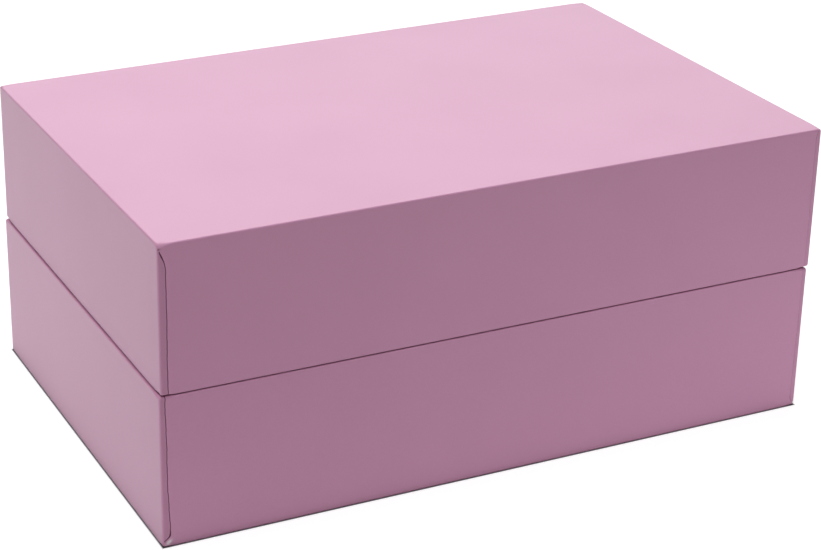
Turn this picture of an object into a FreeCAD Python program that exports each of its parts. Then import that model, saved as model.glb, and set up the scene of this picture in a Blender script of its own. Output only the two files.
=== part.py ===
import FreeCAD, Part
import os

import Sketcher
from FreeCAD import Placement, Rotation, Vector

# A rigid set-up box for bobbins: a base and a lift-off lid of the same outside size, each a greyboard tray
# taped at its corners and covered with paper, a neck that stands in the base and guides the lid, and a grid
# of interlocking strips that parts the base into cells.
# The origin is on the surface that the box stands on, under the middle of the base. X runs along the length.

# --------------------------------------------------------------------- driving dimensions, in millimetres

SIZES = (
    ("box_length", 230.0, "outside length of each half, along X"),
    ("box_width", 150.0, "outside width of each half, along Y"),
    ("box_height", 100.0, "height of the closed box"),
    ("base_height", 51.0, "height of the base's rim"),
    ("seam_gap", 0.3, "between the two rims when the box is closed"),
    ("lid_shift_x", 0.6, "how far the lid has slid over on the neck, along X"),
    ("lid_shift_y", 0.15, "how far the lid has slid over on the neck, along Y"),
    ("board_thick", 2.0, "greyboard of both trays"),
    ("wrap_thick", 0.2, "cover paper with its glue"),
    ("edge_round", 0.9, "outside radius of an edge under the cover paper"),
    ("turn_in", 15.0, "depth of cover paper turned down inside the rim"),
    ("stay_thick", 0.15, "gummed tape of a corner stay"),
    ("stay_leg", 18.0, "width of a corner stay on each side of its corner"),
    ("stay_margin", 1.5, "from either end of a corner to its stay"),
    ("lid_liner_thick", 0.4, "lining paper of the lid"),
    ("base_liner_thick", 1.3, "lining card of the base, which packs the neck out"),
    ("liner_lap", 12.0, "height of lining that lies over the turned-in paper"),
    ("neck_rise", 22.0, "neck standing above the base's rim"),
    ("neck_thick", 1.5, "board of the neck"),
    ("strip_thick", 1.2, "board of the grid's strips"),
    ("strip_tall", 62.0, "height of the grid"),
    ("strip_end_gap", 0.2, "from a strip's end to the neck"),
    ("slot_play", 0.1, "on each side of a strip in the slot of another"),
    ("slot_lead", 1.2, "depth and width of the lead-in at a slot's mouth"),
    ("cells_long", 7, "cells along X"),
    ("cells_wide", 4, "cells along Y"),
)
COUNT = {name: int(value) for name, value, _ in SIZES if name.startswith("cells_")}

doc = FreeCAD.newDocument("bobbin_box")
sizes = doc.addObject("Spreadsheet::Sheet", "sizes")
for row, (name, value, meaning) in enumerate(SIZES, start=1):
    sizes.set(f"A{row}", name)
    sizes.set(f"B{row}", str(value))
    sizes.setAlias(f"B{row}", name)
    sizes.set(f"C{row}", meaning)
doc.recompute()

# What follows from them, as expressions that the sub-parts' own sizes are bound to.
BOARD_LENGTH = "(sizes.box_length - 2 * sizes.wrap_thick)"
BOARD_WIDTH = "(sizes.box_width - 2 * sizes.wrap_thick)"
BOARD_ROUND = "(sizes.edge_round - sizes.wrap_thick)"
ROOM_LENGTH = f"({BOARD_LENGTH} - 2 * sizes.board_thick)"
ROOM_WIDTH = f"({BOARD_WIDTH} - 2 * sizes.board_thick)"
FLOOR = "(sizes.wrap_thick + sizes.board_thick)"
BASE_DEPTH = "sizes.base_height"
LID_DEPTH = "(sizes.box_height - sizes.base_height - sizes.seam_gap)"

NECK_LENGTH = f"({ROOM_LENGTH} - 2 * sizes.base_liner_thick)"
NECK_WIDTH = f"({ROOM_WIDTH} - 2 * sizes.base_liner_thick)"
NECK_WALL = "(sizes.neck_thick + 2 * sizes.wrap_thick)"
NECK_FOOT = f"({FLOOR} + sizes.base_liner_thick)"
NECK_TALL = f"(sizes.base_height + sizes.neck_rise - {NECK_FOOT})"

GRID_LENGTH = f"({NECK_LENGTH} - 2 * {NECK_WALL})"
GRID_WIDTH = f"({NECK_WIDTH} - 2 * {NECK_WALL})"
PITCH_LONG = f"(({GRID_LENGTH} + sizes.strip_thick) / sizes.cells_long)"
PITCH_WIDE = f"(({GRID_WIDTH} + sizes.strip_thick) / sizes.cells_wide)"
SLOT_WIDTH = "(sizes.strip_thick + 2 * sizes.slot_play)"
SLOT_DEPTH = "(sizes.strip_tall / 2 + sizes.slot_play)"

# --------------------------------------------------------------------------------------- ways of building


def place(piece, turned, x="0", y="0", z="0"):
    """Put a piece at x, y, z of its own half. The lid's half is turned over about X, below the box's top."""
    if turned:
        piece.Placement = Placement(Vector(0, 0, 0), Rotation(Vector(1, 0, 0), 180))
        x = f"sizes.lid_shift_x + {x}"
        y = f"sizes.lid_shift_y - {y}"
        z = f"sizes.box_height - {z}"
    piece.setExpression("Placement.Base.x", x)
    piece.setExpression("Placement.Base.y", y)
    piece.setExpression("Placement.Base.z", z)


def new_sketch(body, name, role, height="0"):
    """A sketch on one of the body's own origin planes, raised along the plane's normal by height."""
    sketch = body.newObject("Sketcher::SketchObject", name)
    plane = next(feature for feature in body.Origin.OriginFeatures if feature.Role == role)
    sketch.AttachmentSupport = (plane, [""])
    sketch.MapMode = "FlatFace"
    sketch.setExpression("AttachmentOffset.Base.z", height)
    return sketch


def closed_outline(sketch, corners):
    """Straight lines from corner to corner and back to the first. Returns the first line's number."""
    first = sketch.GeometryCount
    count = len(corners)
    for index, (x, y) in enumerate(corners):
        next_x, next_y = corners[(index + 1) % count]
        sketch.addGeometry(Part.LineSegment(Vector(x, y, 0), Vector(next_x, next_y, 0)), False)
    for index in range(count):
        following = first + (index + 1) % count
        sketch.addConstraint(Sketcher.Constraint("Coincident", first + index, 2, following, 1))
    return first


def bind(sketch, constraint, expression):
    """Add a constraint with a size and tie the size to the sheet."""
    number = sketch.addConstraint(constraint)
    sketch.setExpression(f"Constraints[{number}]", expression)


def rectangle(sketch, length, width):
    """A rectangle about the sketch's origin."""
    first = closed_outline(sketch, [(-9, -6), (9, -6), (9, 6), (-9, 6)])
    for side in (0, 2):
        sketch.addConstraint(Sketcher.Constraint("Horizontal", first + side))
        sketch.addConstraint(Sketcher.Constraint("Vertical", first + side + 1))
    sketch.addConstraint(Sketcher.Constraint("Symmetric", first, 1, first + 2, 1, -1, 1))
    bind(sketch, Sketcher.Constraint("DistanceX", first, 1, first, 2, 18), length)
    bind(sketch, Sketcher.Constraint("DistanceY", first + 1, 1, first + 1, 2, 12), width)


def pad(body, name, sketch, length):
    """Grow a sketch along its normal."""
    feature = body.newObject("PartDesign::Pad", name)
    feature.Profile = sketch
    feature.setExpression("Length", length)
    return feature


def pocket(body, name, sketch, depth, upward=False):
    """Sink a sketch into the body, against its normal or along it, and check that it takes something away."""
    doc.recompute()
    before = body.Shape.Volume
    feature = body.newObject("PartDesign::Pocket", name)
    feature.Profile = sketch
    feature.Reversed = upward
    feature.setExpression("Length", depth)
    doc.recompute()
    if body.Shape.Volume > before - 1:
        raise RuntimeError(f"{body.Label}: {name} cuts nothing")
    return feature


def rounded_block(label, length, width, foot, tall, radius):
    """A body that is a block about the Z axis with all its edges rounded."""
    body = doc.addObject("PartDesign::Body", label)
    outline = new_sketch(body, label + "_outline", "XY_Plane", foot)
    rectangle(outline, length, width)
    block = pad(body, label + "_block", outline, tall)
    doc.recompute()
    rounding = body.newObject("PartDesign::Fillet", label + "_edges")
    rounding.Base = (block, [""])
    rounding.UseAllEdges = True
    rounding.setExpression("Radius", radius)
    return body


def cut(label, base, tool):
    """One object less another."""
    result = doc.addObject("Part::Cut", label)
    result.Base = base
    result.Tool = tool
    return result


# ------------------------------------------------------------------------------------ the two covered trays


def tray_body(prefix, turned, depth):
    """The greyboard tray before its corners are taped: floor, four walls, rounded outside edges."""
    tall = f"{depth} - 2 * sizes.wrap_thick"
    body = rounded_block(prefix + "_tray", BOARD_LENGTH, BOARD_WIDTH, "sizes.wrap_thick", tall, BOARD_ROUND)
    room = new_sketch(body, prefix + "_room", "XY_Plane", f"{depth} - sizes.wrap_thick")
    rectangle(room, ROOM_LENGTH, ROOM_WIDTH)
    pocket(body, prefix + "_hollow", room, f"{depth} - sizes.wrap_thick - {FLOOR}")
    place(body, turned)
    return body


def corner_stays(prefix, turned, depth):
    """Four gummed tapes, one round each upright corner of the tray and pressed flush with its walls."""
    foot = "sizes.wrap_thick + sizes.stay_margin"
    tall = f"{depth} - 2 * sizes.wrap_thick - 2 * sizes.stay_margin"
    band = doc.addObject("PartDesign::Body", prefix + "_tape_band")
    outline = new_sketch(band, prefix + "_tape_outline", "XY_Plane", foot)
    rectangle(outline, BOARD_LENGTH, BOARD_WIDTH)
    block = pad(band, prefix + "_tape_block", outline, tall)
    doc.recompute()
    upright = [
        f"Edge{number}"
        for number, edge in enumerate(block.Shape.Edges, start=1)
        if abs(edge.tangentAt(edge.FirstParameter).z) > 0.9
    ]
    corners = band.newObject("PartDesign::Fillet", prefix + "_tape_corners")
    corners.Base = (block, upright)
    corners.setExpression("Radius", BOARD_ROUND)
    doc.recompute()
    ends = [
        f"Face{number}"
        for number, face in enumerate(corners.Shape.Faces, start=1)
        if abs(face.normalAt(0, 0).z) > 0.9
    ]
    skin = band.newObject("PartDesign::Thickness", prefix + "_tape_skin")
    skin.Base = (corners, ends)
    skin.Reversed = True
    skin.setExpression("Value", "sizes.stay_thick")
    place(band, turned)

    stays = []
    corner_at = {"front_left": (-1, -1), "front_right": (1, -1), "back_right": (1, 1), "back_left": (-1, 1)}
    for where, (side_x, side_y) in corner_at.items():
        reach = doc.addObject("Part::Box", f"{prefix}_reach_{where}")
        reach.setExpression("Length", "sizes.stay_leg")
        reach.setExpression("Width", "sizes.stay_leg")
        reach.setExpression("Height", depth)
        own_side_y = -side_y if turned else side_y
        x = f"({side_x} * {BOARD_LENGTH} / 2 - {int(side_x > 0)} * sizes.stay_leg)"
        y = f"({own_side_y} * {BOARD_WIDTH} / 2 - {int(own_side_y > 0)} * sizes.stay_leg)"
        place(reach, turned, x, y)
        stay = doc.addObject("Part::Common", f"{prefix}_stay_{where}")
        stay.Base = band
        stay.Tool = reach
        stays.append(stay)
    return stays


def cover_body(prefix, turned, depth):
    """All that the cover paper encloses: a rounded block, hollow, and narrower where paper is turned in."""
    name = prefix + "_cover"
    body = rounded_block(name, "sizes.box_length", "sizes.box_width", "0", depth, "sizes.edge_round")
    mouth = new_sketch(body, prefix + "_cover_mouth", "XY_Plane", depth)
    rectangle(mouth, f"{ROOM_LENGTH} - 2 * sizes.wrap_thick", f"{ROOM_WIDTH} - 2 * sizes.wrap_thick")
    pocket(body, prefix + "_cover_hollow", mouth, f"{depth} - {FLOOR}")
    below = new_sketch(body, prefix + "_cover_below", "XY_Plane", f"{depth} - sizes.turn_in")
    rectangle(below, ROOM_LENGTH, ROOM_WIDTH)
    pocket(body, prefix + "_cover_bare", below, f"{depth} - sizes.turn_in - {FLOOR}")
    place(body, turned)
    return body


def liner(prefix, turned, depth, thick):
    """The lining: a folded tray of thin card whose walls lap over the turned-in cover paper."""
    body = doc.addObject("PartDesign::Body", prefix + "_liner")
    outline = new_sketch(body, prefix + "_liner_outline", "XY_Plane", FLOOR)
    rectangle(outline, ROOM_LENGTH, ROOM_WIDTH)
    top = f"({depth} - sizes.turn_in + sizes.liner_lap)"
    pad(body, prefix + "_liner_block", outline, f"{top} - {FLOOR}")
    room = new_sketch(body, prefix + "_liner_room", "XY_Plane", top)
    rectangle(room, f"{ROOM_LENGTH} - 2 * {thick}", f"{ROOM_WIDTH} - 2 * {thick}")
    pocket(body, prefix + "_liner_hollow", room, f"{top} - {FLOOR} - {thick}")
    lap = new_sketch(body, prefix + "_liner_lap", "XY_Plane", top)
    rectangle(lap, ROOM_LENGTH, ROOM_WIDTH)
    rectangle(lap, f"{ROOM_LENGTH} - 2 * sizes.wrap_thick", f"{ROOM_WIDTH} - 2 * sizes.wrap_thick")
    pocket(body, prefix + "_liner_rebate", lap, "sizes.liner_lap")
    place(body, turned)
    return body


def covered_tray(prefix, turned, depth, liner_thick):
    """One half of the box: board, four corner stays, cover paper and lining."""
    tray = tray_body(prefix, turned, depth)
    stays = corner_stays(prefix, turned, depth)
    tapes = doc.addObject("Part::Compound", prefix + "_tapes")
    tapes.Links = stays
    board = cut(prefix + "_board", tray, tapes)
    wrap = cut(prefix + "_wrap", cover_body(prefix, turned, depth), tray)
    return [board, *stays, wrap, liner(prefix, turned, depth, liner_thick)]


# ----------------------------------------------------------------------------------------------- the neck


def neck_board(label, length, thick, x, y):
    """One wall of the neck, standing on the base's lining."""
    board = doc.addObject("Part::Box", label)
    board.setExpression("Length", length)
    board.setExpression("Width", thick)
    board.setExpression("Height", f"{NECK_TALL} - sizes.wrap_thick")
    place(board, False, x, y, NECK_FOOT)
    return board


def neck():
    """Four boards round the inside of the base, and the paper over both their sides and their top."""
    length = f"({NECK_LENGTH} - 2 * sizes.wrap_thick)"
    width = f"({NECK_WIDTH} - 2 * sizes.wrap_thick)"
    thick = "sizes.neck_thick"
    between = f"({width} - 2 * {thick})"
    boards = [
        neck_board("neck_front", length, thick, f"-{length} / 2", f"-{width} / 2"),
        neck_board("neck_back", length, thick, f"-{length} / 2", f"{width} / 2 - {thick}"),
        neck_board("neck_left", thick, between, f"-{length} / 2", f"-{between} / 2"),
        neck_board("neck_right", thick, between, f"{length} / 2 - {thick}", f"-{between} / 2"),
    ]
    body = doc.addObject("PartDesign::Body", "neck_wrap")
    outline = new_sketch(body, "neck_outline", "XY_Plane", NECK_FOOT)
    rectangle(outline, NECK_LENGTH, NECK_WIDTH)
    rectangle(outline, GRID_LENGTH, GRID_WIDTH)
    pad(body, "neck_ring", outline, NECK_TALL)
    inside = new_sketch(body, "neck_inside", "XY_Plane", NECK_FOOT)
    rectangle(inside, length, width)
    rectangle(inside, f"{length} - 2 * {thick}", between)
    pocket(body, "neck_room", inside, f"{NECK_TALL} - sizes.wrap_thick", upward=True)
    return [*boards, body]


# ----------------------------------------------------------------------------------------------- the grid


def slot_outline(sketch, first_at, mouth, inward):
    """One slot: parallel sides from its blind end, then a lead-in that opens to the edge of the strip.

    mouth is the height of that edge, and inward is +1 for a slot that runs up from it and -1 for one that
    runs down.
    """
    half, wide, low, lead = 1.0, 3.0, 20.0 * inward, 2.0 * inward
    points = [(-wide, 0), (wide, 0), (half, lead), (half, low), (-half, low), (-half, lead)]
    first = closed_outline(sketch, points)
    mouth_line, lead_right, side_right, blind_end, side_left = range(first, first + 5)
    sketch.addConstraint(Sketcher.Constraint("Horizontal", mouth_line))
    sketch.addConstraint(Sketcher.Constraint("Horizontal", blind_end))
    sketch.addConstraint(Sketcher.Constraint("Vertical", side_right))
    sketch.addConstraint(Sketcher.Constraint("Vertical", side_left))
    sketch.addConstraint(Sketcher.Constraint("Horizontal", side_right, 1, side_left, 2))
    across = (
        (mouth_line, 1, mouth_line, 2, 2 * wide, f"{SLOT_WIDTH} + 2 * sizes.slot_lead"),
        (blind_end, 2, blind_end, 1, 2 * half, SLOT_WIDTH),
        (side_left, 2, mouth_line, 1, half - wide, "-sizes.slot_lead"),
        (-1, 1, mouth_line, 1, 5, f"{first_at} - {SLOT_WIDTH} / 2 - sizes.slot_lead"),
    )
    for line_a, end_a, line_b, end_b, guess, size in across:
        bind(sketch, Sketcher.Constraint("DistanceX", line_a, end_a, line_b, end_b, guess), size)
    bind(sketch, Sketcher.Constraint("DistanceY", -1, 1, mouth_line, 1, 5), mouth)
    heights = ((mouth_line, 2, lead_right, 2, "sizes.slot_lead"), (mouth_line, 2, side_right, 2, SLOT_DEPTH))
    for line_a, end_a, line_b, end_b, size in heights:
        signed = size if inward > 0 else f"-{size}"
        bind(sketch, Sketcher.Constraint("DistanceY", line_a, end_a, line_b, end_b, 5 * inward), signed)


def strip(label, length, pitch, cells, from_top, turn, x, y):
    """A strip of the grid, standing on edge, with a slot for each strip that crosses it."""
    body = doc.addObject("PartDesign::Body", label)
    outline = new_sketch(body, label + "_outline", "XZ_Plane")
    first = closed_outline(outline, [(-90, 0), (90, 0), (90, 60), (-90, 60)])
    for side in (0, 2):
        outline.addConstraint(Sketcher.Constraint("Horizontal", first + side))
        outline.addConstraint(Sketcher.Constraint("Vertical", first + side + 1))
    outline.addConstraint(Sketcher.Constraint("Symmetric", first, 1, first, 2, -1, 1))
    clear = f"{length} - 2 * sizes.strip_end_gap"
    bind(outline, Sketcher.Constraint("DistanceX", first, 1, first, 2, 180), clear)
    bind(outline, Sketcher.Constraint("DistanceY", first + 1, 1, first + 1, 2, 60), "sizes.strip_tall")
    sheet = pad(body, label + "_sheet", outline, "sizes.strip_thick")
    sheet.Midplane = True

    profile = new_sketch(body, label + "_slot_profile", "XZ_Plane")
    first_at = f"-({cells} - 2) / 2 * {pitch}"
    slot_outline(profile, first_at, "sizes.strip_tall" if from_top else "0", -1 if from_top else 1)
    doc.recompute()
    whole = body.Shape.Volume
    slot = body.newObject("PartDesign::Pocket", label + "_slot")
    slot.Profile = profile
    slot.Type = "ThroughAll"
    slot.Midplane = True
    doc.recompute()
    one_slot = whole - body.Shape.Volume
    row = body.newObject("PartDesign::LinearPattern", label + "_slots")
    row.Originals = [slot]
    row.Direction = (outline, ["H_Axis"])
    row.setExpression("Length", f"({cells} - 2) * {pitch}")
    row.setExpression("Occurrences", f"{cells} - 1")
    body.Tip = row
    doc.recompute()
    taken = whole - body.Shape.Volume
    if one_slot < 1 or abs(taken - one_slot * row.Occurrences) > 0.01 * taken:
        raise RuntimeError(f"{label}: {taken:.1f} mm3 in slots of {one_slot:.1f} mm3")
    body.Placement = Placement(Vector(0, 0, 0), Rotation(Vector(0, 0, 1), turn))
    place(body, False, x, y, NECK_FOOT)
    return body


def grid():
    """Strips along X, slotted from the top, pushed together with strips along Y, slotted from below."""
    strips = []
    for index in range(COUNT["cells_wide"] - 1):
        y = f"({index + 1} - sizes.cells_wide / 2) * {PITCH_WIDE}"
        strips.append(
            strip(f"long_strip_{index + 1}", GRID_LENGTH, PITCH_LONG, "sizes.cells_long", True, 0, "0", y)
        )
    for index in range(COUNT["cells_long"] - 1):
        x = f"({index + 1} - sizes.cells_long / 2) * {PITCH_LONG}"
        strips.append(
            strip(f"short_strip_{index + 1}", GRID_WIDTH, PITCH_WIDE, "sizes.cells_wide", False, 90, x, "0")
        )
    return strips


# ----------------------------------------------------------------------------------------- make and write

pieces = [
    *covered_tray("base", False, BASE_DEPTH, "sizes.base_liner_thick"),
    *covered_tray("lid", True, LID_DEPTH, "sizes.lid_liner_thick"),
    *neck(),
    *grid(),
]
doc.recompute()

for item in doc.Objects:
    if "Invalid" in item.State or "Error" in item.State:
        raise RuntimeError(f"{item.Label} failed: {item.State}")
for piece in pieces:
    if piece.Shape.isNull() or not piece.Shape.isValid() or len(piece.Shape.Solids) != 1:
        raise RuntimeError(f"{piece.Label} isn't one valid solid")

os.makedirs("parts", exist_ok=True)
for piece in pieces:
    piece.Shape.exportStep(f"parts/{piece.Label}.step")
    box = piece.Shape.BoundBox
    lowest = f"{box.XMin:.2f} {box.YMin:.2f} {box.ZMin:.2f}"
    highest = f"{box.XMax:.2f} {box.YMax:.2f} {box.ZMax:.2f}"
    print(f"{piece.Label}: {piece.Shape.Volume:.1f} mm3, from {lowest} to {highest}")
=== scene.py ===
# %% [markdown]
# # A paper-covered bobbin box
# The box is a rigid set-up box: two greyboard trays covered with pale pink paper, a neck that guides the
# lid, and a grid of slotted strips for the bobbins. The frame below comes from the CAD model and holds the
# sizes of the box. This lesson gives that frame its looks: sheets of paper with laps and folds, board with
# cut edges, and a soft light.

# %% Load the frame
import math

import bmesh
import bpy
import numpy as np
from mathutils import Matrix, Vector


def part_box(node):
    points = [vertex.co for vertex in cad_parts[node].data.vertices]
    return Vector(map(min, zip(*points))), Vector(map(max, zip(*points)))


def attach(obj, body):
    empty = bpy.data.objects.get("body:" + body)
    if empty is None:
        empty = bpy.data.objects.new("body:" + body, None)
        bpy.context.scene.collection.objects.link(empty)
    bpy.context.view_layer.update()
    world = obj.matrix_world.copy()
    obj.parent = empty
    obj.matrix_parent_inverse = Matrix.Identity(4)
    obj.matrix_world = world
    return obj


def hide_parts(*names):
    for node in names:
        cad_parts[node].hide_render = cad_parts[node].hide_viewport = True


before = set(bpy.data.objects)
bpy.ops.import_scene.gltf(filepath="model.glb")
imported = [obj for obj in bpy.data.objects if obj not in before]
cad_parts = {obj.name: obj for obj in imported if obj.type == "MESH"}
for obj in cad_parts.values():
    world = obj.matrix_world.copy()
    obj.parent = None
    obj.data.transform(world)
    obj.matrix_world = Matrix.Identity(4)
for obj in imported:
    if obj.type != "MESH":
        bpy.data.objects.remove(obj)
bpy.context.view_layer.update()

MM = 0.001
print("frame:", len(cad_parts), "nodes")

# %% [markdown]
# ## Sizes that come from the frame
# A covered box is a stack of thin layers. The thickness of the paper, and of a wall with its paper on both
# faces, are measured between nodes of the frame and not typed in, so the new surfaces keep to the CAD
# model.


# %% Sizes that come from the frame
def box_of(node):
    """Lowest and highest corner of a CAD node, as arrays."""
    low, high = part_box(node)
    return np.array(low), np.array(high)


base_low, base_high = box_of("base_wrap")
lid_low, lid_high = box_of("lid_wrap")
PAPER = box_of("base_board")[0][2] - base_low[2]
WALL = box_of("base_liner")[0][0] - base_low[0] + PAPER
SEAM = lid_low[2] - base_high[2]
print(f"paper {PAPER / MM:.2f} mm, covered wall {WALL / MM:.2f} mm, seam {SEAM / MM:.2f} mm")

# %% [markdown]
# ## The camera
# A long lens about 0.8 m from the box keeps the perspective gentle. The lens is shifted a little, to frame
# the box without turning the camera, and the angles are given as numbers rather than found by aiming at a
# point.

# %% The camera
LENS, SENSOR = 99.6, 36.0
SHIFT = (0.158, -0.036)
CAMERA_AT = (-0.3219, -0.6339, 0.3589)
CAMERA_ANGLES = (66.482, 0.158, -23.837)
NEAREST, FURTHEST = 0.05, 50.0
camera_data = bpy.data.cameras.new("camera")
camera_data.lens = LENS
camera_data.sensor_width = SENSOR
camera_data.shift_x, camera_data.shift_y = SHIFT
camera_data.clip_start = NEAREST
camera_data.clip_end = FURTHEST
camera = bpy.data.objects.new("camera", camera_data)
camera.location = CAMERA_AT
camera.rotation_euler = [math.radians(angle) for angle in CAMERA_ANGLES]
bpy.context.collection.objects.link(camera)
bpy.context.scene.camera = camera
bpy.context.scene.view_settings.view_transform = "Standard"
bpy.context.scene.view_settings.look = "None"

# %% [markdown]
# ## Helpers for shaders
# Every finish here is a small tree of nodes. Building each by hand would take a page, so a few helpers keep
# a tree short enough to read: one makes the material with its shader, one makes a node and sets its inputs,
# and the rest make the nodes that come up again and again.


# %% Helpers for shaders
class Tree:
    """A material's nodes. where is a point's place in the piece's own coordinates."""

    def __init__(self, name, **shader_values):
        """A new material whose shader's sockets get the values given, with _ for each space in a name."""
        self.material = bpy.data.materials.new(name)
        self.material.use_nodes = True
        self.nodes = self.material.node_tree.nodes
        self.shader = self.nodes["Principled BSDF"]
        for socket, value in shader_values.items():
            self.shader.inputs[socket.replace("_", " ")].default_value = value
        self.where = self.nodes.new("ShaderNodeTexCoord").outputs["Object"]

    def add(self, kind, settings=None, **inputs):
        """A new node. An input is named by its socket, or by i and the socket's number."""
        node = self.nodes.new("ShaderNode" + kind)
        for name, value in (settings or {}).items():
            setattr(node, name, value)
        for socket, value in inputs.items():
            target = node.inputs[int(socket[1:]) if socket[0] == "i" and socket[1:].isdigit() else socket]
            if isinstance(value, bpy.types.NodeSocket):
                self.link(value, target)
            else:
                target.default_value = value
        return node

    def link(self, output, target):
        """Joins an output to an input."""
        self.material.node_tree.links.new(output, target)

    def reckon(self, operation, *values):
        """One sum on numbers or outputs."""
        inputs = {f"i{number}": value for number, value in enumerate(values)}
        return self.add("Math", {"operation": operation}, **inputs).outputs[0]

    def noise(self, per_metre, detail, roughness=0.5):
        """A noise whose features are about one over per_metre in size."""
        node = self.add("TexNoise", Scale=per_metre, Detail=detail, Roughness=roughness)
        self.link(self.where, node.inputs["Vector"])
        return node.outputs["Fac"]

    def spread(self, fac, low, high, floor=0.3, ceiling=0.7):
        """A factor stretched from floor..ceiling to low..high."""
        node = self.add("MapRange", i0=fac, i1=floor, i2=ceiling, i3=low, i4=high)
        return node.outputs["Result"]

    def ramp(self, value, start, end, low, high):
        """low up to start and high from end, joined by 3 s^2 - 2 s^3 of the share s between them."""
        smooth = {"interpolation_type": "SMOOTHSTEP"}
        return self.add("MapRange", smooth, i0=value, i1=start, i2=end, i3=low, i4=high).outputs["Result"]

    def blend(self, fac, colour_a, colour_b):
        """colour_a turning into colour_b as fac goes from 0 to 1."""
        node = self.add("Mix", {"data_type": "RGBA"})
        for socket, value in zip((node.inputs[0], node.inputs[6], node.inputs[7]), (fac, colour_a, colour_b)):
            if isinstance(value, bpy.types.NodeSocket):
                self.link(value, socket)
            else:
                socket.default_value = value
        return node.outputs[2]

    def bump(self, height, distance, strength):
        """The direction of a surface roughened by a height, whose full size is distance."""
        return self.add("Bump", Strength=strength, Distance=distance, Height=height).outputs["Normal"]


def tint(red, green, blue):
    """A colour given as it looks on a screen, from 0 to 255, turned into light by the screen's curve."""
    shown = np.array([red, green, blue]) / 255
    light = np.where(shown <= 0.04045, shown / 12.92, ((shown + 0.055) / 1.055) ** 2.4)
    return (*light.tolist(), 1.0)


# %% [markdown]
# ## The floor and the light
# The box stands on a plain white sweep. A floor that is only lit would look grey beside the box, so this
# one shines by itself as well. Seen directly, it shines evenly, except at the box's foot. What it throws on
# the box grows from the front to the back, and fades out over the last 4 mm before the box. A thin painted
# shadow lies along the foot, where the box touches the floor: there the floor's colour is painted dark and
# its shine drops, darkest just under the rounded edge and gone 0.7 mm outside it.

# %% The floor
FLOOR_HALF = 6.0
ROUND_THE_SQUARE = ((-1, -1), (1, -1), (1, 1), (-1, 1))
floor_corners = [(across * FLOOR_HALF, back * FLOOR_HALF, 0) for across, back in ROUND_THE_SQUARE]
floor_mesh = bpy.data.meshes.new("floor")
floor_mesh.from_pydata(floor_corners, [], [(0, 1, 2, 3)])
floor = bpy.data.objects.new("floor", floor_mesh)
bpy.context.collection.objects.link(floor)
print(f"floor: {2 * FLOOR_HALF:.0f} m square")

# %% The floor's finish
# Places and lengths are in metres. The shine and the glow are strengths of emission.
FLOOR_WHITE, PAINTED_SHADOW_DARK = (0.5, 0.5, 0.5, 1), (0.05, 0.04, 0.05, 1)
SHINE = 0.76
GLOW_FROM, GLOW_TO = -0.3, -0.02
GLOW_FRONT, GLOW_BACK = 0.3, 0.54
GLOW_ENDS, GLOW_FULL = -0.001, 0.004
# The painted shadow along the box's foot: its darkest line lies 0.7 mm inside the box's edge, and it fades
# out between 0.5 mm and 1.4 mm from that line.
SHADOW_LINE_INSIDE = 0.0007
SHADOW_LINE_HALF, SHADOW_LINE_GONE = 0.0005, 0.0014
sweep = Tree("white_sweep", Base_Color=FLOOR_WHITE, Roughness=0.9, Specular_IOR_Level=0.0)
sweep.shader.inputs["Emission Color"].default_value = (1, 1, 1, 1)
place = sweep.add("SeparateXYZ", Vector=sweep.where)
past = [
    sweep.reckon("SUBTRACT", sweep.reckon("ABSOLUTE", place.outputs[axis]), reach)
    for axis, reach in (("X", base_high[0]), ("Y", base_high[1]))
]
gap = sweep.reckon("MAXIMUM", *past)
# Painted shadow: near the box's foot the floor's colour turns dark and its shine, as the camera sees it,
# drops with it.
from_shadow_line = sweep.reckon("ABSOLUTE", sweep.reckon("ADD", gap, SHADOW_LINE_INSIDE))
clear = sweep.ramp(from_shadow_line, SHADOW_LINE_HALF, SHADOW_LINE_GONE, 0.0, 1.0)
glow = sweep.reckon(
    "MULTIPLY",
    sweep.ramp(place.outputs["Y"], GLOW_FROM, GLOW_TO, GLOW_FRONT, GLOW_BACK),
    sweep.ramp(gap, GLOW_ENDS, GLOW_FULL, 0.0, 1.0),
)
shown = sweep.reckon("MULTIPLY", clear, SHINE)
seen = sweep.add("LightPath").outputs["Is Camera Ray"]
sweep.link(sweep.spread(seen, glow, shown, 0, 1), sweep.shader.inputs["Emission Strength"])
sweep.link(sweep.blend(clear, PAINTED_SHADOW_DARK, FLOOR_WHITE), sweep.shader.inputs["Base Color"])
floor_mesh.materials.append(sweep.material)

# %% [markdown]
# A broad light hangs over the box, and a wide, bright one stands far behind it and gives the lid its sheen.
# One at the left is faint, and a small card low at the front right adds a little to the foot of the long
# side. The large ones are large because that makes their shadows soft. The room gives very little light of
# its own, but looks white past the end of the floor.


# %% The light
BOX_MIDDLE = (0, 0, 0.05)
ROOM, BACKDROP = 0.04, 1.0


def softbox(name, at, size, watts, aim=BOX_MIDDLE):
    """A rectangular light at a place, turned so that it faces the point aim and hidden from the camera."""
    data = bpy.data.lights.new(name, "AREA")
    data.shape = "RECTANGLE"
    data.size, data.size_y = size
    data.energy = watts
    lamp = bpy.data.objects.new(name, data)
    lamp.location = at
    lamp.rotation_euler = (Vector(aim) - Vector(at)).to_track_quat("-Z", "Y").to_euler()
    lamp.visible_camera = False
    bpy.context.collection.objects.link(lamp)
    print(f"{name}: {watts} W")


softbox("overhead", at=(-0.27, -0.05, 1.4), size=(1.2, 1.0), watts=14.7)
softbox("left_window", at=(-1.8, 0.1, 0.8), size=(1.4, 1.2), watts=0.1)
softbox("floor_card", at=(0.17, -0.2, 0.014), size=(0.3, 0.05), watts=0.04, aim=(0.14, -0.075, 0.012))
softbox("back_wall", at=(0.9, 2.2, 1.3), size=(2.4, 1.1), watts=40)

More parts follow.
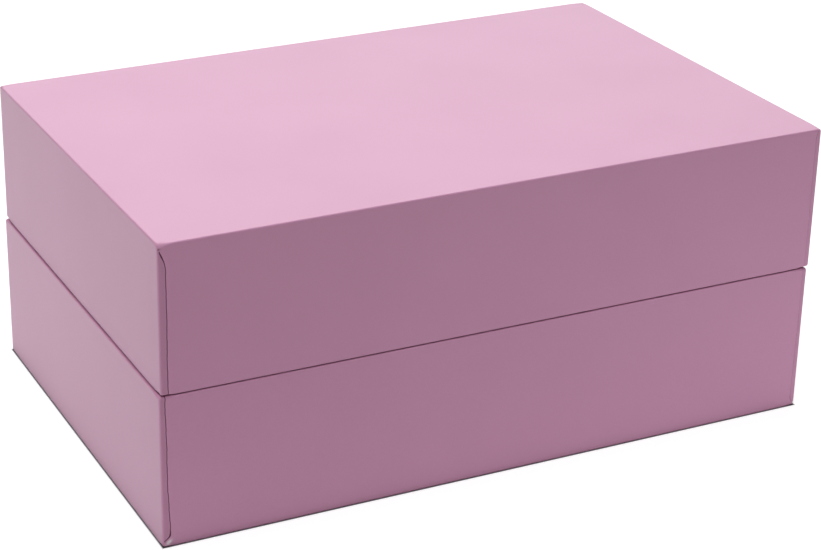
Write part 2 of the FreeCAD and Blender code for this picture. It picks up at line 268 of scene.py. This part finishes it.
world = bpy.data.worlds.new("studio")
bpy.context.scene.world = world
world.use_nodes = True
backdrop = world.node_tree.nodes["Background"]
backdrop.inputs["Color"].default_value = (1, 1, 1, 1)
path = world.node_tree.nodes.new("ShaderNodeLightPath")
level = world.node_tree.nodes.new("ShaderNodeMapRange")
level.inputs["To Min"].default_value = ROOM
level.inputs["To Max"].default_value = BACKDROP
world.node_tree.links.new(path.outputs["Is Camera Ray"], level.inputs["Value"])
world.node_tree.links.new(level.outputs["Result"], backdrop.inputs["Strength"])

# %% [markdown]
# ## The cover paper, as a finish
# The paper is pink on its face, with a soft sheen, a faint cloudiness and fibres too fine to see one by
# one. Where a sheet ends on another, a dark hairline is painted, partly glue and partly painted shade; the
# paper over the rims at the seam gets painted shade too, and a cut corner shows the white core. Those marks
# could be painted by place, but they have to follow the laps, so two numbers stored on the mesh say where
# they are: one for glue and painted shade, and one for the core.


# %% The cover paper, as a finish
def cover_paper():
    """The paper's finish: two pinks, pale fibres, then dark by glue and painted shade, and white by core."""
    paper = Tree("pink_cover_paper", Roughness=0.5, IOR=1.4, Sheen_Weight=0.9, Sheen_Roughness=0.3)
    cloud = paper.noise(28, detail=4, roughness=0.55)
    fibre = paper.noise(1900, detail=2, roughness=0.6)
    pale, deep = tint(220, 157, 193), tint(218, 155, 191)
    colour = paper.blend(paper.spread(cloud, 0, 1), pale, deep)
    colour = paper.blend(paper.spread(fibre, 0, 0.05), colour, tint(240, 205, 222))
    glue_and_shade = paper.add("Attribute", {"attribute_name": "glue_and_shade"}).outputs["Fac"]
    # The dark tint is glue and painted shade: the laps' grooves, a little on the ears, and the rims at the
    # seam.
    colour = paper.blend(glue_and_shade, colour, tint(92, 10, 58))
    core = paper.add("Attribute", {"attribute_name": "core"}).outputs["Fac"]
    colour = paper.blend(core, colour, tint(246, 232, 238))
    paper.link(colour, paper.shader.inputs["Base Color"])
    paper.link(paper.spread(cloud, 0.475, 0.495), paper.shader.inputs["Roughness"])
    paper.link(paper.bump(fibre, 0.02 * MM, 0.35), paper.shader.inputs["Normal"])
    return paper.material


COVER_PAPER = cover_paper()

# %% [markdown]
# ## The two covers
# Each half is covered by one sheet. It lies over the flat panel, goes round a small edge down the wall,
# turns over the rim and ends inside. At every corner the short side's paper runs round first, and the long
# side's paper laps over it a couple of millimetres from the corner: that lap is the hairline beside each
# upright edge.
#
# A box with a bevel would give the outline but none of this, so the sheet is worked out as a surface of two
# parameters: how far along the section (panel edge, wall, rim, turn-in) and how far round the outline.

# %% The section of a cover
EDGE = 0.55 * MM
RIM = 0.34 * MM
RIM_INSIDE = 0.4 * MM
TURN_IN = 15.0 * MM
FOOT = 7 * MM
HOLD = 0.3 * MM


def drawn(strokes, spread):
    """Insets, heights and leans along a section drawn by a pen, one column for each step.

    The pen's centre slides from one place to the next while its arm, of a fixed radius, turns from one
    angle to the next: an arm with length makes a bend, and one without makes a flat. The lean is the angle
    of the outward direction above the horizontal. spread is an array of noughts that gives every stroke the
    same number of rows. A stroke is: inset from and to, height from and to, arm, lean from and to in
    quarter turns, steps.
    """
    columns = []
    for inset_from, inset_to, height_from, height_to, arm, lean_from, lean_to, steps in strokes:
        share = np.arange(steps) / steps
        lean = (lean_from + (lean_to - lean_from) * share) * math.pi / 2 + spread
        inset = inset_from + (inset_to - inset_from) * share - arm * np.cos(lean)
        height = height_from + (height_to - height_from) * share + arm * np.sin(lean)
        columns.append(np.stack([inset, height, lean]))
    return np.concatenate(columns, axis=2)


def section(depth, edge, rim, hem):
    """The sheet's outer face from the panel to its hem inside: inset, height and lean, one row a station.

    It bends by the radius edge at the panel and climbs, with its rows closer over the FOOT than above it,
    and one more row a HOLD below the rim's bend to keep the wall flat. Then it bends by the radius rim,
    crosses the wall and goes down inside.
    """
    inside = depth - RIM_INSIDE
    turn = WALL - RIM_INSIDE
    shoulder = depth - rim
    return drawn((
        (edge, edge, edge, edge, edge, -1, 0, 8),
        (0, 0, edge, FOOT, 0, 0, 0, 24),
        (0, 0, FOOT, shoulder - HOLD, 0, 0, 0, 60),
        (0, 0, shoulder - HOLD, shoulder, 0, 0, 0, 1),
        (rim, rim, shoulder, shoulder, rim, 0, 1, 8),
        (rim, turn, depth, depth, 0, 1, 1, 3),
        (turn, turn, inside, inside, RIM_INSIDE, 1, 2, 6),
        (WALL, WALL, inside, hem, 0, 2, 2, 10),
        (WALL, WALL, hem, hem, 0, 2, 2, 1),
    ), 0 * rim)


# %% [markdown]
# A lap's edge was cut and smoothed down by hand. A straight line would look like a drawing, so the edge is
# worked out as a line that leans and wavers a little, and that runs back to the corner where the sheet was
# trimmed.

# %% The laps at the corners
DRIFT_HEIGHT = 45
WAVER_TURNS = (0.23, 0.71, 1.9, 3.7)


def lap_line(height, lap, drift, end, trim, trimmed_to, waver, seed):
    """Distance from the corner to the lapping sheet's edge, at each height above the panel, in millimetres.

    It is lap, plus a drift that grows as a square towards the panel, plus a waver of four sines, each
    weaker than the one before. Below the height trim the sheet was cut away, so there the edge runs back on
    a quarter of a sine wave, to trimmed_to at the height end.
    """
    line = lap + drift * np.clip(1 - height / DRIFT_HEIGHT, 0, 1) ** 2
    for number, turns in enumerate(WAVER_TURNS):
        line = line + waver / (number + 1) * np.sin(height * turns + seed * (number + 2))
    low = np.clip((height - end) / (trim - end), 0, 1)
    return trimmed_to + (line - trimmed_to) * np.sin(low * math.pi / 2)


def blot(distance, height, at_distance, at_height, half_long, half_short, tilt=0):
    """A soft spot on the sheet, one at its middle: a bell along a line tilted by tilt, times one across."""
    cos, sin = math.cos(math.radians(tilt)), math.sin(math.radians(tilt))
    across, up = distance - at_distance, height - at_height
    long_way = (cos * across + sin * up) / half_long
    short_way = (cos * up - sin * across) / half_short
    return np.exp(-(long_way**2) - short_way**2)


# %% [markdown]
# A hairline is a fraction of a millimetre wide, so points spread evenly round the box would miss it. Each
# end of a side gets its own points instead, close together at the groove and wider apart away from it.

# %% One end of a side
# Lengths are in millimetres. The groove's depth is in times SUNK, and its floor a share of its width.
GROOVE_DEPTH, GROOVE_FLOOR = 1.3, 0.3
# The ear's stations are painted a little darker, up to this share of the groove's dark.
EAR_DARKENING = 0.15
SWELL, SWELL_ABOVE, SWELL_REACH = 1.3, 1.5, 1.8
DARK_BELOW, DARK_OVER = 0.5, 0.4
CHIP_GAIN = 1.7
ROUND = 0.8
EAR = np.array([0, 0.12, 0.25, 0.38, 0.5, 0.62, 0.75, 0.88, 1.0])
LIP = np.array([0.02, 0.12, 0.25, 0.4, 0.55, 0.75, 1.0, 1.25, 1.5, 1.75, 2.0, 2.4, 3.0, 4.0, 6.0])
PLAIN = np.array([*np.linspace(0, ROUND * math.pi / 4, 7), 0.9, 1.3, 1.9, 2.6, 3.6, 5.0, 7.0])


def corner_run(height, lap):
    """Stations from the corner's middle inwards, in millimetres, with their sinking, glue and painted shade,
    and core.

    With a lap, the ear's stations share out the space up to the groove, two stations make the groove, and the
    lip's stations stand at fixed distances past it. The groove is painted dark, as glue and painted shade,
    and the ear is painted a little darker. The groove swells by a bell a little above the lap's end, and its
    dark fades out at that end. Without a lap, the stations only round the corner.
    """
    if not lap:
        distance = PLAIN[:, None] + 0 * height
        return np.stack([distance, 0 * distance, 0 * distance, 0 * distance])
    line = lap_line(height, *lap["line"])
    end = lap["line"][2]
    swell = 1 + SWELL * blot(0, height, 0, end + SWELL_ABOVE, 1, SWELL_REACH)
    groove = np.maximum(line - lap["width"] * swell, 0)
    in_groove = groove + GROOVE_FLOOR * (line - groove)
    distance = np.concatenate([EAR[:, None] * groove, in_groove, line, line + LIP[:, None]])
    sunk = np.concatenate([EAR, [GROOVE_DEPTH, GROOVE_DEPTH], 0 * LIP])[:, None] + 0 * height
    # Painted dark: glue and painted shade in the groove, and a little darkening on the ear.
    glue_and_shade = np.concatenate([np.minimum(EAR, EAR_DARKENING), [1, 1], 0 * LIP])[:, None] * lap["dark"]
    glue_and_shade = glue_and_shade * np.clip((height - end + DARK_BELOW) / DARK_OVER, 0, 1)
    for dot in lap["dots"]:
        glue_and_shade = np.maximum(glue_and_shade, blot(distance, height, *dot))
    core = 0 * distance
    for chip in lap["chips"]:
        core = np.maximum(core, np.clip(CHIP_GAIN * blot(distance, height, *chip), 0, 1))
    return np.stack([distance, sunk, glue_and_shade, core])


# %% [markdown]
# The outline is four straight sides joined by small quarter circles. A distance measured on the paper says
# where a point is, so a lap keeps its width where it comes round the corner.

# %% The outline of a cover
MIDDLE_STATIONS = 14
QUARTER_TURNS = ((1, 0), (0, 1), (-1, 0), (0, -1))


def side_points(along, half, across, bend):
    """Points and outward directions of the front side, at distances from its middle measured on the paper.

    Up to the straight's end the point runs straight. Past it the rest of the distance bends round an arc,
    whose angle is that rest over the radius bend.
    """
    straight = half - bend
    angle = np.maximum(np.abs(along) - straight, 0) / bend
    x = np.sign(along) * (np.minimum(np.abs(along), straight) + bend * np.sin(angle))
    y = -across + bend * (1 - np.cos(angle))
    return np.stack([x, y, np.sign(along) * np.sin(angle), -np.cos(angle)])


def outline(half, height, laps, bend=ROUND):
    """The stations right round, side by side from the front: x, y, outward direction, sunk, glue and painted
    shade, core.

    Each side is worked out as if it were the front and then turned by quarter turns. Returns the stations,
    their distances from the nearest corner, and how many stations each side has. The middle stations,
    spread evenly between the two ends, all count as half a side from a corner.
    """
    stations, distances, counts = [], [], []
    for side in range(4):
        along_half, across = half[side % 2], half[1 - side % 2]
        reach = along_half - bend + bend * math.pi / 4
        start = corner_run(height, laps[side][0])
        end = corner_run(height, laps[side][1])[:, ::-1]
        share = np.linspace(0, 1, MIDDLE_STATIONS + 2)[1:-1, None]
        middle = (1 - share) * (start[0, -1] - reach) + share * (reach - end[0, 0])
        along = np.concatenate([start[0] - reach, middle, reach - end[0]])
        marks = np.concatenate([start[1:], np.zeros((3, *middle.shape)), end[1:]], axis=1)
        x, y, out_x, out_y = side_points(along, along_half, across, bend)
        cos, sin = QUARTER_TURNS[side]
        turned = [cos * x - sin * y, sin * x + cos * y, cos * out_x - sin * out_y, sin * out_x + cos * out_y]
        stations.append(np.concatenate([np.stack(turned), marks]))
        distances.append(np.concatenate([start[0], middle * 0 + reach, end[0]]))
        counts.append(len(along))
    return np.concatenate(stations, axis=1), np.concatenate(distances), counts


# %% [markdown]
# The section and the outline are now put together: a grid with a row for each place round the outline and a
# column for each step of the section. Four such sides leave a hole in the middle of the panel, and a patch
# stretched between them closes it.

# %% A sheet's grids
# The sheet is a little thinner than the CAD's paper, so it doesn't touch the board. SUNK times the groove's
# depth is less than the sheet, so no groove goes through it. Points closer than DOUBLES become one.
SHEET = 0.18 * MM
SUNK = 0.12 * MM
DOUBLES = 0.0005 * MM


def layer(half, stations, inset, height, lean, deeper):
    """One face of the sheet: place = outline point less the inset times the outward direction.

    The place is kept inside the rectangle that the inset shrinks, so a corner stays square where the inset
    is more than its radius. deeper is how far the face lies under the sheet's outer face, along its own
    direction.
    """
    x, y, out_x, out_y = stations[:4]
    inset = inset + deeper * np.cos(lean)
    limit_x, limit_y = half[0] - inset, half[1] - inset
    across = np.clip(x * MM - inset * out_x, -limit_x, limit_x)
    back = np.clip(y * MM - inset * out_y, -limit_y, limit_y)
    return np.stack([across, back, height - deeper * np.sin(lean) + 0 * x], axis=-1)


def panel(line, counts):
    """A Coons patch over a closed line of four sides: the two ruled surfaces' sum less the bilinear one."""
    front, right, back, left = np.split(line, np.cumsum(counts)[:-1])
    back, left = back[::-1], left[::-1]
    u = (front[:, 0] - front[0, 0]) / (front[-1, 0] - front[0, 0])
    v = (right[:, 1] - right[0, 1]) / (right[-1, 1] - right[0, 1])
    u, v = u[:, None, None], v[None, :, None]
    ruled = (1 - v) * front[:, None] + v * back[:, None] + (1 - u) * left[None] + u * right[None]
    corners = (1 - u) * ((1 - v) * front[0] + v * back[0]) + u * ((1 - v) * front[-1] + v * back[-1])
    return ruled - corners


def quads(first, rows, columns, closed, flipped):
    """Faces of a grid of points numbered row by row from first; closed joins the last row to the first."""
    row = np.arange(rows if closed else rows - 1)[:, None]
    column = np.arange(columns - 1)[None, :]
    after = (row + 1) % rows
    here, there = row * columns + column, after * columns + column
    faces = first + np.stack([here, there, there + 1, here + 1], axis=-1).reshape(-1, 4)
    return faces[:, ::-1] if flipped else faces


def mesh_piece(name, points, faces, marks=None):
    """A smooth piece from points and faces, with its doubles merged and its marks kept as attributes."""
    mesh = bpy.data.meshes.new(name)
    mesh.from_pydata(points.tolist(), [], faces.tolist())
    for mark, values in (marks or {}).items():
        mesh.attributes.new(mark, "FLOAT", "POINT").data.foreach_set("value", values.astype(np.float32))
    whole = bmesh.new()
    whole.from_mesh(mesh)
    bmesh.ops.remove_doubles(whole, verts=whole.verts, dist=DOUBLES)
    for face in whole.faces:
        face.smooth = True
    loose_edges = sum(not edge.is_manifold for edge in whole.edges)
    volume = whole.calc_volume(signed=True)
    whole.to_mesh(mesh)
    whole.free()
    piece = bpy.data.objects.new(name, mesh)
    bpy.context.collection.objects.link(piece)
    print(f"{name}: {len(mesh.polygons)} faces, {loose_edges} open edges, {volume * 1e6:.2f} ml")
    return piece


# %% [markdown]
# Hand-made corners are softer than the edges between them, and knocks press them in. So the bends at the
# panel and at the rim grow wider towards the corners, and each corner of the panel may have a dent.

# %% The corners of a half
# The extras are added to the bends' radii. The distances are in millimetres, and so is SUNK_ABOVE, the height
# above the panel where the sinking starts.
EDGE_EXTRA, EDGE_HELD, EDGE_REACH = 0.2 * MM, 1.3, 1.6
RIM_EXTRA, RIM_HELD, RIM_REACH = 0.6 * MM, 2.5, 1.2
DENT_HEIGHT = 2.5
SUNK_ABOVE = 0.3


def near_corner(distance, held, reach):
    """One up to the distance held from a corner, then falling to nothing as a bell that is reach wide."""
    return np.exp(-((np.maximum(distance - held, 0) / reach) ** 2))


def wrap_lines(low, high, laps, hem):
    """What a sheet and a board of one half share: half sizes, stations, section, side counts and sinking.

    The sinking is full on the wall, and fades to none just above the panel and through the rim's bend.
    """
    half, depth = (high - low)[:2] / 2, high[2] - low[2]
    plain = section(depth, np.array([[EDGE]]), np.array([[RIM]]), hem)[1] / MM
    stations, from_corner, counts = outline(half / MM, plain, laps)
    edge = EDGE + EDGE_EXTRA * near_corner(from_corner[:, :1], EDGE_HELD, EDGE_REACH)
    rim = RIM + RIM_EXTRA * near_corner(from_corner[:, -1:], RIM_HELD, RIM_REACH)
    inset, height, lean = section(depth, edge, rim, hem)
    kept = np.clip(height / MM - SUNK_ABOVE, 0, 1) * np.clip(1 - lean / (math.pi / 2), 0, 1)
    return half, stations, (inset, height, lean), counts, SUNK * stations[4] * kept


def set_down(points, low, high, turned, dents):
    """Presses in the corners of a half's panel and moves it to its place, turned over for the lid.

    A dent pushes points towards the middle height by its depth times a bell of the distance from the corner
    of the panel, and the bell has its own reach along and across.
    """
    depth = high[2] - low[2]
    half = (high - low)[:2] / 2
    for across, back, pressed, reach_along, reach_across in dents:
        corner = (across * half[0], back * half[1], 0)
        away = (points - corner) / MM / (reach_along, reach_across, DENT_HEIGHT)
        points = points + np.outer(pressed * np.exp(-(away**2).sum(axis=1)), (0, 0, MM))
    if turned:
        points = points * (1, -1, -1) + (0, 0, depth)
    return points + (*(low + high)[:2] / 2, low[2])


# %% The whole sheet
# Painted shade for the seam: how dark, the lean where it peaks, and how far it reaches, in quarter turns.
SEAM_SHADE_DARK, FOLD_LEAN, FOLD_OVER = 0.35, 1.05, 0.4


def cover(name, low, high, laps, turned, dents):
    """A half's cover as a closed sheet: an outer and an inner layer, each a ring of sections and a panel.

    The two are joined by a strip at the hem. The lid is the same shape turned over about its long axis. The
    paper over the rim's bend and turn-in is painted darker, as painted shade for the seam between the halves:
    a tent over the lean, in quarter turns, that peaks at FOLD_LEAN.
    """
    hem = high[2] - low[2] - TURN_IN
    half, stations, lines, counts, sunk = wrap_lines(low, high, laps, hem)
    outer, inner = layer(half, stations, *lines, sunk), layer(half, stations, *lines, SHEET)
    grids = (outer, inner, panel(outer[:, 0], counts), panel(inner[:, 0], counts))
    rows, columns = outer.shape[:2]
    starts = np.cumsum([0] + [grid.shape[0] * grid.shape[1] for grid in grids])
    last = np.arange(rows) * columns + columns - 1
    after = np.roll(last, -1)
    faces = np.concatenate([
        quads(starts[0], rows, columns, True, False),
        quads(starts[1], rows, columns, True, True),
        quads(starts[2], counts[0], counts[1], False, True),
        quads(starts[3], counts[0], counts[1], False, False),
        np.stack([last, after, after + starts[1], last + starts[1]], axis=-1),
    ])
    points = np.concatenate([grid.reshape(-1, 3) for grid in grids])
    points = set_down(points, low, high, turned, dents)
    rest = np.zeros(len(points) - rows * columns)
    # Painted shade on the paper over the rim's bend and turn-in, where the seam between the halves lies in
    # shade.
    folded = SEAM_SHADE_DARK * np.clip(1 - np.abs(lines[2] / (math.pi / 2) - FOLD_LEAN) / FOLD_OVER, 0, 1)
    glue_and_shade = np.maximum(stations[5], folded)
    marks = {
        "glue_and_shade": np.concatenate([glue_and_shade.ravel(), rest]),
        "core": np.concatenate([stations[6].ravel(), rest]),
    }
    piece = mesh_piece(name, points, faces, marks)
    piece.data.materials.append(COVER_PAPER)
    return piece


# %% [markdown]
# Every corner was folded by hand, so each lap has its own numbers: how far it stands from the corner, how
# it drifts, and where it was trimmed near the panel. Three of them have a speck of glue or a chip of bare
# core too.

# %% The base's cover and the lid's
def lap(line, width, dark, dots=(), chips=()):
    """One corner's lap, in millimetres: lap_line's numbers, the groove's width and dark, and any blots.

    The blots are dots of glue and chips of bare core.
    """
    return {"line": line, "width": width, "dark": dark, "dots": dots, "chips": chips}


BASE_LAPS = (
    (
        lap((1.8, 0.75, 1.9, 4.0, 0.55, 0.09, 3), 0.24, 1.0, chips=((1.75, 1.4, 1.05, 0.48, 46),)),
        lap((1.6, 0.5, 0.6, 3.4, 0.7, 0.06, 5), 0.2, 0.35, chips=((0.3, 0.6, 0.35, 0.5),)),
    ),
    (None, None),
    (lap((1.9, 0.6, 1.0, 5.5, 0.6, 0.08, 8), 0.22, 0.6), lap((2.1, 0.5, 1.0, 4.4, 0.9, 0.07, 2), 0.22, 0.6)),
    (None, None),
)
LID_LAPS = (
    (lap((2.2, 0.2, 1.4, 7.0, 0.5, 0.07, 6), 0.22, 0.6), lap((2.0, 0.3, 1.5, 6.4, 0.6, 0.06, 9), 0.22, 0.6)),
    (None, None),
    (
        lap((1.7, 0.3, 0.6, 3.0, 1.35, 0.06, 2), 0.2, 0.3),
        lap((2.3, 0.3, 2.0, 9.5, 0.65, 0.06, 1), 0.24, 1.0, dots=((0.1, 0.8, 0.6, 0.32),)),
    ),
    (None, None),
)
# A dent: which side across and back, its depth, and its reach along and across, in millimetres.
BASE_DENTS = ((-1, -1, 0.2, 2, 2), (1, -1, 0.15, 2, 2), (1, 1, 0.1, 3, 2), (-1, 1, 0.1, 2, 3))
LID_DENTS = ((-1, 1, 0.75, 2.2, 0.8), (1, 1, 0.1, 3, 3), (1, -1, 0.2, 3, 2), (-1, -1, 0.1, 2, 3))
base_cover = cover("base_cover", base_low, base_high, BASE_LAPS, False, BASE_DENTS)
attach(base_cover, "base")
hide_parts("base_wrap")
lid_cover = cover("lid_cover", lid_low, lid_high, LID_LAPS, True, LID_DENTS)
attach(lid_cover, "lid")
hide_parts("lid_wrap")

# %% [markdown]
# ## The boards under the paper
# The paper lies on greyboard trays. Hard knocks crush their corners a little, and the paper follows. The
# frame's own boards would show through a dent, so each is made again with the same section and the same
# dents, one paper's thickness deeper than its cover.

# %% The boards
BOARD = 2.0 * MM


def board(name, low, high, laps, turned, dents):
    """A half's board: one ring of sections, deeper than the paper, closed by an outer and an inner panel."""
    half, stations, lines, counts, _ = wrap_lines(low, high, laps, PAPER + BOARD)
    skin = layer(half, stations, *lines, PAPER)
    grids = (skin, panel(skin[:, 0], counts), panel(skin[:, -1], counts))
    rows, columns = skin.shape[:2]
    starts = np.cumsum([0] + [grid.shape[0] * grid.shape[1] for grid in grids])
    faces = np.concatenate([
        quads(starts[0], rows, columns, True, False),
        quads(starts[1], counts[0], counts[1], False, True),
        quads(starts[2], counts[0], counts[1], False, False),
    ])
    points = set_down(np.concatenate([grid.reshape(-1, 3) for grid in grids]), low, high, turned, dents)
    return mesh_piece(name, points, faces)


base_core = board("base_core", base_low, base_high, BASE_LAPS, False, BASE_DENTS)
lid_core = board("lid_core", lid_low, lid_high, LID_LAPS, True, LID_DENTS)
for core, body in ((base_core, "base"), (lid_core, "lid")):
    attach(core, body)
    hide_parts(body + "_board")

# %% [markdown]
# ## The neck's cover
# The neck is the collar that stands up out of the base and guides the lid. Its paper comes up outside,
# folds over the boards' top edges and goes down inside, so its rim is a narrow rounded fold and not a cut
# edge.

# %% The neck's cover
neck_low, neck_high = box_of("neck_wrap")
NECK_WALL = box_of("neck_front")[1][1] - neck_low[1] + PAPER
NECK_FOLD = 0.5 * MM
NECK_BEND = 0.6


def folded_band(name, low, high, wall, fold, bend):
    """A sheet folded over the top of a wall that goes right round: two rings, joined at both hems.

    The section climbs outside, bends twice by the radius fold with a flat between, and goes down inside.
    """
    half, depth = (high - low)[:2] / 2, high[2] - low[2]
    inset, height, lean = drawn((
        (0, 0, 0, depth - fold, 0, 0, 0, 24),
        (fold, fold, depth - fold, depth - fold, fold, 0, 1, 8),
        (fold, wall - fold, depth, depth, 0, 1, 1, 2),
        (wall - fold, wall - fold, depth - fold, depth - fold, fold, 1, 2, 8),
        (wall, wall, depth - fold, 0, 0, 2, 2, 16),
        (wall, wall, 0, 0, 0, 2, 2, 1),
    ), np.zeros((1, 1)))
    stations = outline(half / MM, height / MM, ((None, None),) * 4, bend)[0]
    grids = [layer(half, stations, inset, height, lean, deeper) for deeper in (0, SHEET)]
    rows, columns = grids[0].shape[:2]
    first = np.arange(rows) * columns
    after, last = np.roll(first, -1), first + columns - 1
    after_last, under = np.roll(last, -1), rows * columns
    faces = np.concatenate([
        quads(0, rows, columns, True, False),
        quads(under, rows, columns, True, True),
        np.stack([last, after_last, after_last + under, last + under], axis=-1),
        np.stack([after, first, first + under, after + under], axis=-1),
    ])
    points = np.concatenate([grid.reshape(-1, 3) for grid in grids]) + (*(low + high)[:2] / 2, low[2])
    return mesh_piece(name, points, faces, {"glue_and_shade": np.zeros(len(points)), "core": np.zeros(len(points))})


neck_cover = folded_band("neck_cover", neck_low, neck_high, NECK_WALL, NECK_FOLD, NECK_BEND)
neck_cover.data.materials.append(COVER_PAPER)
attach(neck_cover, "base")
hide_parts("neck_wrap")

# %% [markdown]
# ## Board, linings and tape
# The linings, the neck's boards, the strips and the pieces of tape keep the shapes the CAD gave them, and
# get finishes of their own. One recipe does for greyboard, lining and tape, which differ in their tones and
# their roughness. The strips need another, as they are white on both faces and grey along their cut top
# edges.

# %% Plain board and lining finishes
DULL = 0.25
TOOTH = 0.04 * MM


def board_finish(name, pale, deep, fleck, roughness):
    """Pressed fibre board: a cloud of two tones, darker flecks and a coarse tooth."""
    fibres = Tree(name, Roughness=roughness, Specular_IOR_Level=DULL)
    cloud = fibres.noise(60, detail=4)
    flecks = fibres.noise(1400, detail=2, roughness=0.7)
    colour = fibres.blend(fibres.spread(cloud, 0, 1), pale, deep)
    colour = fibres.blend(fibres.spread(flecks, 0, 0.6, floor=0.6, ceiling=0.78), colour, fleck)
    fibres.link(colour, fibres.shader.inputs["Base Color"])
    fibres.link(fibres.bump(flecks, TOOTH, 0.6), fibres.shader.inputs["Normal"])
    return fibres.material


GREYS = (tint(168, 160, 148), tint(154, 146, 135), tint(120, 112, 104))
WHITES = (tint(244, 240, 236), tint(238, 233, 229), tint(226, 220, 214))
BROWNS = (tint(190, 156, 118), tint(178, 144, 106), tint(150, 118, 84))
FINISHES = {
    "greyboard": board_finish("pressed_greyboard", *GREYS, roughness=0.85),
    "lining": board_finish("white_lining", *WHITES, roughness=0.7),
    "tape": board_finish("kraft_tape", *BROWNS, roughness=0.75),
    "cover": COVER_PAPER,
}

# %% The strips' finish
CUT_FROM, CUT_FULL = 0.12 * MM, 0.04 * MM
STRIP_TOOTH = 0.05 * MM
STRIP_WHITES = (tint(238, 232, 228), tint(230, 224, 219))
STRIP_GREYS = (tint(182, 174, 163), tint(150, 143, 134))


def cut_edges(name, whites, greys, roughness, top):
    """White-lined board whose flat top edge, at the height top, shows the grey core."""
    strip = Tree(name, Roughness=roughness, Specular_IOR_Level=DULL)
    fibre = strip.noise(1400, detail=2, roughness=0.7)
    cloud = strip.noise(70, detail=3)
    height = strip.add("SeparateXYZ", Vector=strip.where).outputs["Z"]
    cut = strip.spread(height, 0.0, 1.0, floor=top - CUT_FROM, ceiling=top - CUT_FULL)
    face = strip.blend(strip.spread(cloud, 0, 1), *whites)
    core = strip.blend(strip.spread(fibre, 0, 1), *greys)
    strip.link(strip.blend(cut, face, core), strip.shader.inputs["Base Color"])
    strip.link(strip.bump(fibre, STRIP_TOOTH, 0.6), strip.shader.inputs["Normal"])
    return strip.material


STRIP_TOP = box_of("long_strip_1")[1][2]
FINISHES["strip"] = cut_edges("white_strip_board", STRIP_WHITES, STRIP_GREYS, roughness=0.75, top=STRIP_TOP)

# %% [markdown]
# No edge of real board is perfectly sharp, and a narrow rounded edge catches the light. The strips are flat
# boards with slots, so a live bevel does that best, once the loose faces of the CAD mesh have been joined.
# Every other CAD node is left as it is and only gets its finish, which its own name tells.

# %% Edges and finishes
EASED = 0.2 * MM
JOINED = 0.002 * MM
SHARP = 40


def ease(thing, width):
    """Rounds a CAD node's sharp edges by a live modifier, after one that joins the shells of its faces."""
    weld = thing.modifiers.new("joined", "WELD")
    weld.merge_threshold = JOINED
    bevel = thing.modifiers.new("eased", "BEVEL")
    bevel.width = width
    bevel.segments = 3
    bevel.limit_method = "ANGLE"
    bevel.angle_limit = math.radians(SHARP)


def finish_for(node):
    """The finish of a CAD node, from its own name."""
    for word, finish in (
        ("stay", "tape"), ("strip", "strip"), ("liner", "lining"), ("wrap", "cover"), ("board", "greyboard"),
    ):
        if word in node:
            return FINISHES[finish]
    return FINISHES["greyboard"]


base_core.data.materials.append(FINISHES["greyboard"])
lid_core.data.materials.append(FINISHES["greyboard"])
for node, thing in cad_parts.items():
    thing.data.materials.clear()
    thing.data.materials.append(finish_for(node))
    if "strip" in node:
        ease(thing, EASED)
    print(node, "->", finish_for(node).name)
